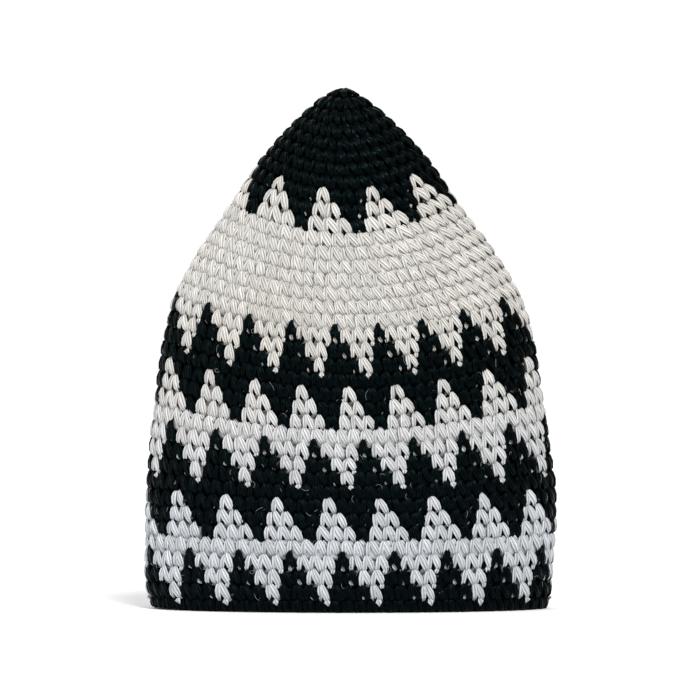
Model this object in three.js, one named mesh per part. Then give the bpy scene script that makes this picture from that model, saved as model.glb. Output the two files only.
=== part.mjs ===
// A tall pointed kufi cap, crocheted in rounds from its tip down and standing half open on its rim.
// Millimetres, +Z up. The front of the cap faces -Y, and the origin lies on the ground under it.
import * as THREE from "three";

// Size of the standing cap
const CAP_HEIGHT = 281; // ground to tip
const CAP_WIDTH = 221; // from side to side at the widest round
const CAP_DEPTH = 106; // from front to back at the widest round

// The crocheted fabric
const CAP_ROUNDS = 37; // rounds of stitches between the tip and the rim edging
const WALL = 6; // thickness over the ribs
const RIB = 1.5; // how far each round stands out from the groove below it
const SHUT_ROUNDS = 1.5; // rounds at the tip that are drawn shut, with no hollow inside them

// The last round, a tight edging on which the cap stands
const RIM_HEIGHT = 6.5;
const RIM_THICKNESS = 6;
const RIM_INSET = 1.2; // how far the edging draws in from the round above it
const CLEARANCE = 0.3; // between the edging and the round above it

// Colours of the two yarns
const WHITE_YARN = 0xdedad6;
const BLACK_YARN = 0x101214;

// How finely the soft form is divided
const SIDES = 40; // flat facets around each round
const LINING_RINGS = 13; // rings on the plain inner surface

// The form, from the tip to the last round above the edging.
// at: share of the rounds; side, middle: height of that round at the cap's sides and at the middle
// of its front and back, as shares of the height above the edging; width, depth: shares of
// CAP_WIDTH and CAP_DEPTH; lean: shift of the round towards +X, as a share of half CAP_WIDTH.
const FORM = [
  { at: 0.0, side: 1.0, middle: 1.0, width: 0.0, depth: 0.0, lean: -0.032 },
  { at: 0.027, side: 0.984, middle: 0.98, width: 0.088, depth: 0.143, lean: -0.037 },
  { at: 0.108, side: 0.925, middle: 0.899, width: 0.26, depth: 0.4, lean: -0.036 },
  { at: 0.216, side: 0.847, middle: 0.797, width: 0.429, depth: 0.571, lean: -0.03 },
  { at: 0.297, side: 0.771, middle: 0.71, width: 0.554, depth: 0.673, lean: -0.03 },
  { at: 0.405, side: 0.672, middle: 0.604, width: 0.73, depth: 0.806, lean: -0.024 },
  { at: 0.486, side: 0.591, middle: 0.525, width: 0.84, depth: 0.888, lean: -0.017 },
  { at: 0.568, side: 0.502, middle: 0.4375, width: 0.902, depth: 0.929, lean: -0.012 },
  { at: 0.649, side: 0.412, middle: 0.355, width: 0.936, depth: 0.949, lean: -0.01 },
  { at: 0.73, side: 0.3115, middle: 0.274, width: 0.97, depth: 0.98, lean: -0.006 },
  { at: 0.838, side: 0.182, middle: 0.168, width: 1.0, depth: 1.0, lean: 0.0 },
  { at: 0.919, side: 0.093, middle: 0.085, width: 0.995, depth: 1.0, lean: -0.005 },
  { at: 0.965, side: 0.04, middle: 0.0365, width: 0.992, depth: 0.997, lean: -0.013 },
  { at: 1.0, side: 0.0, middle: 0.0, width: 0.981, depth: 0.99, lean: -0.007 },
];

// Section of the edging, from its outer foot around to its inner foot.
// inward: share of RIM_THICKNESS from its outer face; up: share of RIM_HEIGHT.
const RIM_SECTION = [
  { inward: 0.12, up: 0 },
  { inward: 0.88, up: 0 },
  { inward: 1, up: 0.45 },
  { inward: 0.85, up: 1 },
  { inward: 0.15, up: 1 },
  { inward: 0, up: 0.45 },
];

const CAP_FOOT = RIM_HEIGHT + CLEARANCE; // height of the cap's lower edge above the ground

// One column of the form at a share of the rounds, on a smooth curve through the table's rows.
function formAt(column, at) {
  const last = FORM.length - 1;
  let row = 0;
  while (row < last - 1 && FORM[row + 1].at < at) row += 1;
  const slopeAt = (k) => {
    const before = FORM[Math.max(k - 1, 0)];
    const after = FORM[Math.min(k + 1, last)];
    return (after[column] - before[column]) / (after.at - before.at);
  };
  const from = FORM[row];
  const to = FORM[row + 1];
  const span = to.at - from.at;
  const s = (at - from.at) / span;
  const rise = to[column] - from[column];
  const leave = slopeAt(row) * span;
  const arrive = slopeAt(row + 1) * span;
  const square = 3 * rise - 2 * leave - arrive;
  const cube = leave + arrive - 2 * rise;
  return from[column] + s * (leave + s * (square + s * cube));
}

// Reach from the axis and height of the outer surface, along the side ("side", "width") or along
// the middle of the front ("middle", "depth"), moved in by an inset square to the surface.
function edgeAt(heightColumn, reachColumn, fullReach, at, inset) {
  const reach = (share) => (formAt(reachColumn, share) * fullReach) / 2;
  const height = (share) => CAP_FOOT + formAt(heightColumn, share) * (CAP_HEIGHT - CAP_FOOT);
  const halfRound = 0.5 / CAP_ROUNDS;
  const above = Math.max(at - halfRound, 0);
  const below = Math.min(at + halfRound, 1);
  const outward = reach(below) - reach(above);
  const down = height(above) - height(below);
  const length = Math.hypot(outward, down);
  return {
    reach: reach(at) - (inset * down) / length,
    height: height(at) - (inset * outward) / length,
  };
}

// Points around one round, from the front towards +X. Where level is given, the round lies flat.
function roundPoints(at, inset, level) {
  const side = edgeAt("side", "width", CAP_WIDTH, at, inset);
  const middle = edgeAt("middle", "depth", CAP_DEPTH, at, inset);
  const centre = (formAt("lean", at) * CAP_WIDTH) / 2;
  return Array.from({ length: SIDES }, (_, k) => {
    const turn = (2 * Math.PI * k) / SIDES;
    const towardsSide = Math.sin(turn) ** 2;
    const height = middle.height + (side.height - middle.height) * towardsSide;
    return new THREE.Vector3(
      centre + side.reach * Math.sin(turn),
      -middle.reach * Math.cos(turn),
      level ?? height,
    );
  });
}

// A closed skin over a row of rings. Each end closes on a pole, or the last ring joins the first.
function skinOver(rings, poles) {
  const points = rings.flat();
  const faces = [];
  const corner = (ring, k) => (ring % rings.length) * SIDES + (k % SIDES);
  const bands = poles ? rings.length - 1 : rings.length;
  for (let ring = 0; ring < bands; ring += 1) {
    for (let k = 0; k < SIDES; k += 1) {
      const upper = corner(ring, k);
      const upperNext = corner(ring, k + 1);
      const lower = corner(ring + 1, k);
      const lowerNext = corner(ring + 1, k + 1);
      faces.push(upper, lower, lowerNext, upper, lowerNext, upperNext);
    }
  }
  if (poles) {
    const first = points.push(poles.first) - 1;
    const last = points.push(poles.last) - 1;
    for (let k = 0; k < SIDES; k += 1) {
      faces.push(first, corner(0, k), corner(0, k + 1));
      faces.push(last, corner(rings.length - 1, k + 1), corner(rings.length - 1, k));
    }
  }
  const geometry = new THREE.BufferGeometry().setFromPoints(points);
  geometry.setIndex(faces);
  geometry.computeVertexNormals();
  return geometry;
}

// The crocheted cap: ribbed outside, plain inside, hollow and open at its lower edge.
function capGeometry() {
  const outside = [];
  for (let round = 1; round <= CAP_ROUNDS; round += 1) {
    outside.push(roundPoints((round - 0.5) / CAP_ROUNDS, 0));
    const groove = round === CAP_ROUNDS ? CAP_FOOT : undefined;
    outside.push(roundPoints(round / CAP_ROUNDS, RIB, groove));
  }
  const inside = [roundPoints(1, WALL, CAP_FOOT)];
  const start = SHUT_ROUNDS / CAP_ROUNDS;
  for (let ring = LINING_RINGS - 1; ring >= 0; ring -= 1) {
    inside.push(roundPoints(start + ((1 - start) * ring) / LINING_RINGS, WALL));
  }
  const tipCentre = (formAt("lean", 0) * CAP_WIDTH) / 2;
  return skinOver([...outside, ...inside], {
    first: new THREE.Vector3(tipCentre, 0, CAP_HEIGHT),
    last: new THREE.Vector3(tipCentre, 0, CAP_HEIGHT - WALL - RIB),
  });
}

// The edging: a level ring of even section that follows the last round and lies flat on the ground.
function rimGeometry() {
  return skinOver(
    RIM_SECTION.map(({ inward, up }) =>
      roundPoints(1, RIM_INSET + inward * RIM_THICKNESS, up * RIM_HEIGHT),
    ),
  );
}

function yarn(color) {
  return new THREE.MeshStandardMaterial({ color, roughness: 0.85, metalness: 0 });
}

function named(name, geometry, material) {
  const mesh = new THREE.Mesh(geometry, material);
  mesh.name = name;
  return mesh;
}

const kufi = new THREE.Group();
kufi.name = "kufi";
kufi.add(named("cap", capGeometry(), yarn(WHITE_YARN)));
kufi.add(named("rim_edging", rimGeometry(), yarn(BLACK_YARN)));

export default kufi;
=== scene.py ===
"""Looks of a tall crocheted kufi cap that stands half open on its rim, in black and white yarn.

Lengths are metres. The front of the cap faces -Y. A place on the fabric is given by its turn (the
share of the way round, from the middle of the front to the right), its round (counted from the
tip) and how far out of the outer face it lies.
"""

import logging
import math
from dataclasses import dataclass, field, fields, replace
from enum import Enum

import bpy
import numpy as np
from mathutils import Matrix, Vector


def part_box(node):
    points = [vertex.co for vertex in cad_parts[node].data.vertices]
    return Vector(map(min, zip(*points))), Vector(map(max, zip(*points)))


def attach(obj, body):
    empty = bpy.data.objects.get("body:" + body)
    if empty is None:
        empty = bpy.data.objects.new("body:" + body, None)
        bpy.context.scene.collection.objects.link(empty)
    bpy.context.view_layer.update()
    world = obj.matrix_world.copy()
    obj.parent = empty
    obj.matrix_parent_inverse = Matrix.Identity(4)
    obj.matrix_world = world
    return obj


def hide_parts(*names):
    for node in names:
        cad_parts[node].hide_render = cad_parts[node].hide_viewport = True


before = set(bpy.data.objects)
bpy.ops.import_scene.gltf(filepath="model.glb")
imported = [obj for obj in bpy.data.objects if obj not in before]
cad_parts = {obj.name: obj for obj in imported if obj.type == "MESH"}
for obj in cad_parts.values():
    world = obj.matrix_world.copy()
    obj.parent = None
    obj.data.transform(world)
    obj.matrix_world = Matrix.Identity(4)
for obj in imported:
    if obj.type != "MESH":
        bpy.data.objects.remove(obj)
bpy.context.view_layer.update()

log = logging.getLogger("kufi")
MM = 0.001
SEED = 1957
RIDGE, TUCK_SHADE, TONE = range(3)  # what a finish reads at each corner of a yarn; ridge and tuck set its painted shade

Material = bpy.types.Material
Tree = bpy.types.NodeTree
Socket = bpy.types.NodeSocket
Value = Socket | float
Tint = Socket | tuple[float, float, float]


class Yarn(Enum):
    """The two yarns, each by its material slot."""

    WHITE = "white_yarn"
    BLACK = "black_yarn"


@dataclass(frozen=True)
class Section:
    """One row of the cap's form, as shares of its named sizes.

    Args:
        at: Share of the rounds from the tip.
        side: Height of the round at the cap's sides.
        middle: Height of the round at the middle of the front and back.
        width: Share of the cap's width.
        depth: Share of the cap's depth.
        lean: Shift to the right, as a share of half the width.
    """

    at: float
    side: float
    middle: float
    width: float
    depth: float
    lean: float


FORM = (
    Section(at=0.0, side=1.0, middle=1.0, width=0.0, depth=0.0, lean=-0.032),
    Section(at=0.027, side=0.984, middle=0.98, width=0.088, depth=0.143, lean=-0.037),
    Section(at=0.108, side=0.925, middle=0.899, width=0.26, depth=0.4, lean=-0.036),
    Section(at=0.216, side=0.847, middle=0.797, width=0.429, depth=0.571, lean=-0.03),
    Section(at=0.297, side=0.771, middle=0.71, width=0.554, depth=0.673, lean=-0.03),
    Section(at=0.405, side=0.672, middle=0.604, width=0.73, depth=0.806, lean=-0.024),
    Section(at=0.486, side=0.591, middle=0.525, width=0.84, depth=0.888, lean=-0.017),
    Section(at=0.568, side=0.502, middle=0.4375, width=0.902, depth=0.929, lean=-0.012),
    Section(at=0.649, side=0.412, middle=0.355, width=0.936, depth=0.949, lean=-0.01),
    Section(at=0.73, side=0.3115, middle=0.274, width=0.97, depth=0.98, lean=-0.006),
    Section(at=0.838, side=0.182, middle=0.168, width=1.0, depth=1.0, lean=0.0),
    Section(at=0.919, side=0.093, middle=0.085, width=0.995, depth=1.0, lean=-0.005),
    Section(at=0.965, side=0.04, middle=0.0365, width=0.992, depth=0.997, lean=-0.013),
    Section(at=1.0, side=0.0, middle=0.0, width=0.981, depth=0.99, lean=-0.007),
)


@dataclass
class CapForm:
    """The smooth outer face of the cap, on which every stitch is placed.

    Args:
        rounds: Rounds of stitches above the edging.
        width: Width of the widest round, which stands midway and doesn't lean.
        depth: Depth of the widest round.
        top: Height of the tip.
        foot: Height of the lower edge.
        pitch: Height of one round, for what lies below the last row of the form.
        stretch_rounds: Rounds for which a stretch is given.
        side_stretches: How much wider the stitches of those rounds are drawn at the cap's sides.
        turn_steps: Steps in which the way round is measured.
        near_angle: Half the width of the patch on which the face's slope is measured.
        near_round: Half its height, in rounds.
    """

    rounds: int = 37
    width: float = 2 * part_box("cap")[1][0]
    depth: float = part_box("cap")[1][1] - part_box("cap")[0][1]
    top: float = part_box("cap")[1][2]
    foot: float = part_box("cap")[0][2]
    pitch: float = 7.5 * MM
    stretch_rounds: tuple[float, ...] = (11.0, 19.0, 31.0)
    side_stretches: tuple[float, ...] = (0.0, 0.4, 0.2)
    turn_steps: int = 720
    near_angle: float = 0.01
    near_round: float = 0.05

    def stretch(self, angle: np.ndarray, rounds: np.ndarray) -> np.ndarray:
        """Gives how many times wider the stitches are drawn, which grows towards the sides."""
        amount = np.interp(rounds, self.stretch_rounds, self.side_stretches)
        return 1.0 + amount * np.sin(angle) ** 4

    def column(self, name: str, rounds: np.ndarray) -> np.ndarray:
        """Reads one column of the form on a smooth curve through its rows.

        Args:
            name: The column's name.
            rounds: Rounds from the tip.

        Returns:
            The column's share at each round.
        """
        at = np.array([row.at for row in FORM])
        value = np.array([getattr(row, name) for row in FORM])
        slope = np.empty_like(value)
        slope[1:-1] = (value[2:] - value[:-2]) / (at[2:] - at[:-2])
        slope[0] = (value[1] - value[0]) / (at[1] - at[0])
        slope[-1] = (value[-1] - value[-2]) / (at[-1] - at[-2])
        share = np.clip(rounds / self.rounds, 0.0, 1.0)
        row = np.clip(np.searchsorted(at, share, side="right") - 1, 0, len(at) - 2)
        span = at[row + 1] - at[row]
        s = (share - at[row]) / span
        rise = value[row + 1] - value[row]
        leave, arrive = slope[row] * span, slope[row + 1] * span
        square, cube = 3 * rise - 2 * leave - arrive, leave + arrive - 2 * rise
        return value[row] + s * (leave + s * (square + s * cube))

    def face(self, angle: np.ndarray, rounds: np.ndarray) -> np.ndarray:
        """Gives points of the outer face.

        Args:
            angle: Angle of each point on its round's oval, from the front to the right.
            rounds: Rounds from the tip.

        Returns:
            The points, with x, y and z on the last axis.
        """
        across = self.column("width", rounds) * self.width / 2
        through = self.column("depth", rounds) * self.depth / 2
        centre = self.column("lean", rounds) * self.width / 2
        side, middle = self.column("side", rounds), self.column("middle", rounds)
        share = middle + (side - middle) * np.sin(angle) ** 2
        height = self.foot + share * (self.top - self.foot)
        height = height - np.maximum(rounds - self.rounds, 0.0) * self.pitch
        return np.stack(
            [centre + across * np.sin(angle), -through * np.cos(angle), height], axis=-1
        )

    def lengths(self, rounds: float) -> tuple[np.ndarray, np.ndarray]:
        """Measures one round in lengths of unstretched stitches.

        Args:
            rounds: The round whose oval is measured.

        Returns:
            Angles round the oval, and the length from the front to each of them.
        """
        steps = np.linspace(0.0, 2 * math.pi, self.turn_steps + 1)
        loop = self.face(steps, np.full_like(steps, rounds))
        middle = (steps[1:] + steps[:-1]) / 2
        pieces = np.linalg.norm(np.diff(loop, axis=0), axis=1) / self.stretch(middle, rounds)
        return steps, np.concatenate([[0.0], np.cumsum(pieces)])

    def angle(self, turn: np.ndarray, rounds: float) -> np.ndarray:
        """Turns shares of the way round, counted in stitches, into angles on the oval.

        Args:
            turn: Share of the way round, from the middle of the front to the right.
            rounds: The round whose oval is measured.

        Returns:
            The angles.
        """
        steps, length = self.lengths(rounds)
        whole = np.floor(turn)
        return np.interp(turn - whole, length / length[-1], steps) + 2 * math.pi * whole

    def girth(self, rounds: float) -> float:
        """Measures the way round at one round, in lengths of unstretched stitches."""
        return float(self.lengths(rounds)[1][-1])

    def outward(self, angle: np.ndarray, rounds: np.ndarray) -> np.ndarray:
        """Gives the unit directions that point square out of the face.

        Args:
            angle: Angle of each point on its round's oval.
            rounds: Rounds from the tip.

        Returns:
            The directions, with x, y and z on the last axis.
        """
        turn, step = self.near_angle, self.near_round
        inner = np.clip(rounds, 2 * step, self.rounds - 2 * step)
        along = self.face(angle + turn, inner) - self.face(angle - turn, inner)
        down = self.face(angle, inner + step) - self.face(angle, inner - step)
        normal = np.cross(down, along)
        return normal / np.linalg.norm(normal, axis=-1, keepdims=True)

    def place(self, angle: np.ndarray, rounds: np.ndarray, out: np.ndarray) -> np.ndarray:
        """Gives points that lie out of the face, or behind it where out is negative."""
        return self.face(angle, rounds) + self.outward(angle, rounds) * out[..., None]


@dataclass(frozen=True)
class LegShape:
    """The path and thickness of one leg of a stitch, from its top to its foot.

    Args:
        across: Places across the stitch's cell, in cell widths to the right of its middle.
        down: Places down the cell, in rounds from its top.
        out: How far the leg's middle lies out of the cap's face, in millimetres.
        half_width: Half its width, in cell widths.
        half_depth: Half its depth, in millimetres.
        strands: How many of the yarn's strands face out.
    """

    across: tuple[float, ...]
    down: tuple[float, ...]
    out: tuple[float, ...]
    half_width: tuple[float, ...]
    half_depth: tuple[float, ...]
    strands: int


LEFT_LEG = LegShape(
    across=(-0.12, -0.17, -0.215, -0.255, -0.275, -0.27),
    down=(-0.06, 0.04, 0.18, 0.45, 0.78, 1.04),
    out=(-2.3, -1.5, -0.95, -0.5, -0.65, -2.0),
    half_width=(0.07, 0.14, 0.19, 0.22, 0.195, 0.10),
    half_depth=(0.6, 0.9, 1.05, 1.1, 1.0, 0.7),
    strands=2,
)
RIGHT_LEG = LegShape(
    across=(-0.07, -0.02, 0.06, 0.22, 0.375, 0.48),
    down=(-0.14, -0.03, 0.15, 0.46, 0.78, 1.03),
    out=(-2.1, -1.3, -0.7, -0.2, -0.35, -1.7),
    half_width=(0.07, 0.155, 0.245, 0.31, 0.25, 0.13),
    half_depth=(0.6, 0.9, 1.05, 1.1, 1.0, 0.7),
    strands=3,
)
EDGE_LEFT_LEG = LegShape(
    across=(-0.10, -0.20, -0.24, -0.26, -0.25, -0.22),
    down=(-0.10, 0.02, 0.20, 0.45, 0.68, 0.82),
    out=(-3.2, -2.5, -2.2, -2.1, -2.3, -2.9),
    half_width=(0.10, 0.16, 0.20, 0.21, 0.19, 0.12),
    half_depth=(0.7, 1.0, 1.2, 1.2, 1.1, 0.7),
    strands=2,
)
EDGE_RIGHT_LEG = LegShape(
    across=(0.10, 0.14, 0.20, 0.27, 0.33, 0.35),
    down=(-0.12, 0.00, 0.18, 0.43, 0.67, 0.82),
    out=(-3.0, -2.3, -2.0, -1.9, -2.2, -2.8),
    half_width=(0.13, 0.20, 0.26, 0.27, 0.24, 0.15),
    half_depth=(0.7, 1.0, 1.2, 1.2, 1.1, 0.7),
    strands=3,
)
GAP_FLOAT = LegShape(
    across=(0.01, 0.03, 0.07, 0.10),
    down=(0.56, 0.72, 0.88, 1.02),
    out=(-2.3, -1.6, -1.6, -2.3),
    half_width=(0.05, 0.22, 0.20, 0.03),
    half_depth=(0.4, 0.8, 0.8, 0.4),
    strands=2,
)
DIM_FLOAT = LegShape(
    across=(0.17, 0.10, 0.01, -0.06),
    down=(0.70, 0.79, 0.89, 0.97),
    out=(-2.6, -1.9, -1.9, -2.6),
    half_width=(0.02, 0.045, 0.045, 0.02),
    half_depth=(0.2, 0.35, 0.35, 0.2),
    strands=1,
)
SLIT_FLOAT = LegShape(
    across=(0.15, 0.10, 0.04, -0.02),
    down=(0.56, 0.70, 0.90, 1.04),
    out=(-2.1, -1.4, -1.4, -2.1),
    half_width=(0.05, 0.20, 0.20, 0.05),
    half_depth=(0.4, 0.8, 0.8, 0.4),
    strands=2,
)
CARRIED_FLOAT = LegShape(
    across=(0.06, 0.06, 0.05, 0.04),
    down=(0.62, 0.74, 0.90, 1.02),
    out=(-2.2, -1.25, -1.25, -2.2),
    half_width=(0.03, 0.14, 0.14, 0.03),
    half_depth=(0.4, 0.7, 0.7, 0.4),
    strands=2,
)
SMALL_FLOAT = LegShape(
    across=(0.10, 0.07, 0.04),
    down=(0.62, 0.82, 1.00),
    out=(-2.2, -1.2, -2.2),
    half_width=(0.03, 0.14, 0.02),
    half_depth=(0.3, 0.6, 0.3),
    strands=2,
)
TAIL_FLOAT = LegShape(
    across=(0.40, 0.38, 0.35, 0.33),
    down=(0.86, 0.97, 1.11, 1.22),
    out=(-1.6, -0.7, -0.7, -1.6),
    half_width=(0.04, 0.19, 0.18, 0.03),
    half_depth=(0.4, 0.9, 0.9, 0.4),
    strands=2,
)
DIAMOND_FLOAT = LegShape(
    across=(0.23, 0.29, 0.36),
    down=(0.86, 1.14, 1.44),
    out=(-1.7, 0.2, -1.5),
    half_width=(0.02, 0.27, 0.02),
    half_depth=(0.3, 0.8, 0.3),
    strands=2,
)
PEAK = LegShape(
    across=(0.03, 0.0, -0.02, -0.02),
    down=(-0.42, -0.20, 0.06, 0.38),
    out=(-0.5, 0.1, 0.1, -1.2),
    half_width=(0.06, 0.24, 0.35, 0.26),
    half_depth=(0.4, 0.8, 0.9, 0.6),
    strands=2,
)
BACK_LOOP = LegShape(
    across=(0.08, 0.22, 0.36, 0.46),
    down=(-0.12, 0.04, 0.20, 0.40),
    out=(-2.3, -1.3, -1.2, -2.1),
    half_width=(0.12, 0.24, 0.24, 0.12),
    half_depth=(0.6, 0.9, 0.9, 0.6),
    strands=3,
)


@dataclass(frozen=True)
class Strands:
    """The cross-section of a yarn: a ring of points, with ridges where its strands face out.

    Args:
        outer: Strands on the outward half.
        ridge: How far a strand stands over the grooves beside it, as a share of the radius.
        shoulder: Where each strand's two shoulders lie, as a share of its width from its edges.
        corners: Points in the whole ring.
        back: How far the inward half stands out, from 0 as in a groove to 1 as on a ridge.
    """

    outer: int
    ridge: float = 0.45
    shoulder: float = 0.32
    corners: int = 12
    back: float = 0.4

    @property
    def inner(self) -> int:
        """Counts the plain points left for the inward half, after 3 for each outer strand."""
        return self.corners - 3 * self.outer - 1

    def ring(self) -> tuple[np.ndarray, np.ndarray, np.ndarray]:
        """Works out the section.

        Returns:
            Each point's angle from the right, its radius, and 1 on a ridge or 0 in a groove.
        """
        share = np.arange(self.outer + 1) / self.outer
        grooves = (math.pi * share + np.arccos(1.0 - 2.0 * share)) / 2
        within = np.array([0.0, self.shoulder, 1.0 - self.shoulder])
        angle = (grooves[:-1, None] + np.diff(grooves)[:, None] * within).reshape(-1)
        on_ridge = np.tile([0.0, 1.0, 1.0], self.outer)
        inward = math.pi + math.pi * np.arange(1, self.inner + 1) / (self.inner + 1)
        ridge = np.concatenate([on_ridge, [0.0], np.full(self.inner, self.back)])
        radius = 1.0 - self.ridge * (1.0 - ridge)
        return np.concatenate([angle, [math.pi], inward]), radius, ridge


@dataclass
class Stitches:
    """Where every stitch lies, one entry of each array for each stitch.

    Args:
        round: Its round, counted from the tip.
        turn: The share of the way round at which its middle lies.
        cell: How wide it is, unstretched.
        step: Its width as a share of the way round.
        white: Whether it is white.
        last: Whether the next stitch to the right has the other colour.
        spread: How far its legs stand apart, 0 as usual.
    """

    round: np.ndarray
    turn: np.ndarray
    cell: np.ndarray
    step: np.ndarray
    white: np.ndarray
    last: np.ndarray
    spread: np.ndarray

    def pick(self, chosen: np.ndarray) -> "Stitches":
        """Gives the chosen stitches alone."""
        return Stitches(*(getattr(self, item.name)[chosen] for item in fields(self)))


@dataclass
class ZigzagChart:
    """The rounds, their stitch counts and the four-stitch zigzag repeat, as charted.

    Args:
        repeat: Stitches in one repeat.
        crown_counts: Stitches in each round of the crown, from the tip.
        point_repeats: Repeats in each round of the points under the crown.
        side_repeats: Repeats in each round below the white field.
        field_rounds: First and last round of the white field.
        point_lead: How many stitches the first of the points stands to the right of the middle.
        point_lean: How many stitches further to the right each next round of the points stands.
        side_lead: The same as point_lead, for the first round below the field.
        side_lean: The same as point_lean, for the rounds below the field.
        white_columns: The white stitches of each round's repeat, from 0 for the first.
    """

    repeat: int = 4
    crown_counts: tuple[int, ...] = (7, 13, 18, 22, 26, 30, 34, 38)
    point_repeats: int = 10
    side_repeats: int = 18
    field_rounds: tuple[int, int] = (12, 18)
    point_lead: float = -1.8
    point_lean: float = -0.17
    side_lead: float = -3.16
    side_lean: float = -0.2135
    white_columns: dict[int, tuple[int, ...]] = field(
        default_factory=lambda: {
            9: (0,), 10: (0, 1), 11: (0, 1, 2),
            19: (0, 1, 3), 20: (0, 1), 21: (1,), 22: (),
            23: (0,), 24: (0, 1), 25: (0, 1, 2), 26: (0, 1, 2, 3),
            27: (0, 1, 3), 28: (0, 1), 29: (1,), 30: (),
            31: (0,), 32: (0, 1), 33: (0, 1, 2), 34: (0, 1, 2, 3),
            35: (0, 1, 3), 36: (0, 1), 37: (1,),
        }
    )

    def is_mixed(self, numbers: np.ndarray) -> np.ndarray:
        """Says which rounds are worked in both yarns, one of them carried inside the stitches."""
        mixed = [n for n, columns in self.white_columns.items() if 0 < len(columns) < self.repeat]
        return np.isin(numbers, mixed)

    def is_closing(self, numbers: np.ndarray) -> np.ndarray:
        """Says in which rounds white gives way to black, where the other yarn shows boldly.

        Args:
            numbers: The rounds asked about.

        Returns:
            Whether each of them is such a round.
        """
        closing = [
            number
            for number, columns in self.white_columns.items()
            if len(columns) in range(1, self.repeat)
            and len(self.white_columns.get(number + 1, ())) < len(columns)
            and number > self.field_rounds[1]
        ]
        return np.isin(numbers, closing)

    def is_single(self, numbers: np.ndarray) -> np.ndarray:
        """Says which rounds have one white stitch in each repeat."""
        single = [number for number, columns in self.white_columns.items() if len(columns) == 1]
        return np.isin(numbers, single)

    def count(self, number: int) -> int:
        """Counts the stitches of one round.

        Args:
            number: The round.

        Returns:
            How many stitches it has.
        """
        first, last = self.field_rounds
        points, sides = self.point_repeats * self.repeat, self.side_repeats * self.repeat
        if number <= len(self.crown_counts):
            return self.crown_counts[number - 1]
        if number < first:
            return points
        if number > last:
            return sides
        return round(points + (sides - points) * (number - first + 1) / (last - first + 1))

    def lead(self, number: int) -> float:
        """Gives how many stitches column 0 lies to the right of the middle of the front.

        Args:
            number: The round.

        Returns:
            The distance in stitches, below 0 to the left.
        """
        first_point, first_side = len(self.crown_counts) + 1, self.field_rounds[1] + 1
        if number < self.field_rounds[0]:
            return self.point_lead + self.point_lean * (number - first_point)
        return self.side_lead + self.side_lean * (number - first_side)

    def is_white(self, number: int, column: np.ndarray) -> np.ndarray:
        """Says which columns of one round are white.

        Args:
            number: The round.
            column: The columns asked about.

        Returns:
            Whether each of them is white.
        """
        first, last = self.field_rounds
        if first <= number <= last:
            return np.ones(column.shape, bool)
        return np.isin(column % self.repeat, self.white_columns.get(number, ()))

    def stitches(self, form: CapForm, rng: np.random.Generator, first: int, last: int) -> Stitches:
        """Places every stitch of some rounds.

        Args:
            form: The cap's form, for the width of each stitch's cell.
            rng: The source of the stitches' small differences.
            first: The first of the rounds.
            last: The last of them.

        Returns:
            The stitches, round by round.
        """
        parts: list[list[np.ndarray]] = [[] for _ in fields(Stitches)]
        for number in range(first, last + 1):
            count = self.count(number)
            column = np.arange(count)
            white = self.is_white(number, column)
            row = (
                np.full(count, number),
                (column + self.lead(number)) / count,
                np.full(count, form.girth(number - 0.5) / count),
                np.full(count, 1.0 / count),
                white,
                white != np.roll(white, -1),
                rng.normal(0.0, 1.0, count),
            )
            for kept, values in zip(parts, row):
                kept.append(values)
        return Stitches(*(np.concatenate(kept) for kept in parts))


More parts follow.
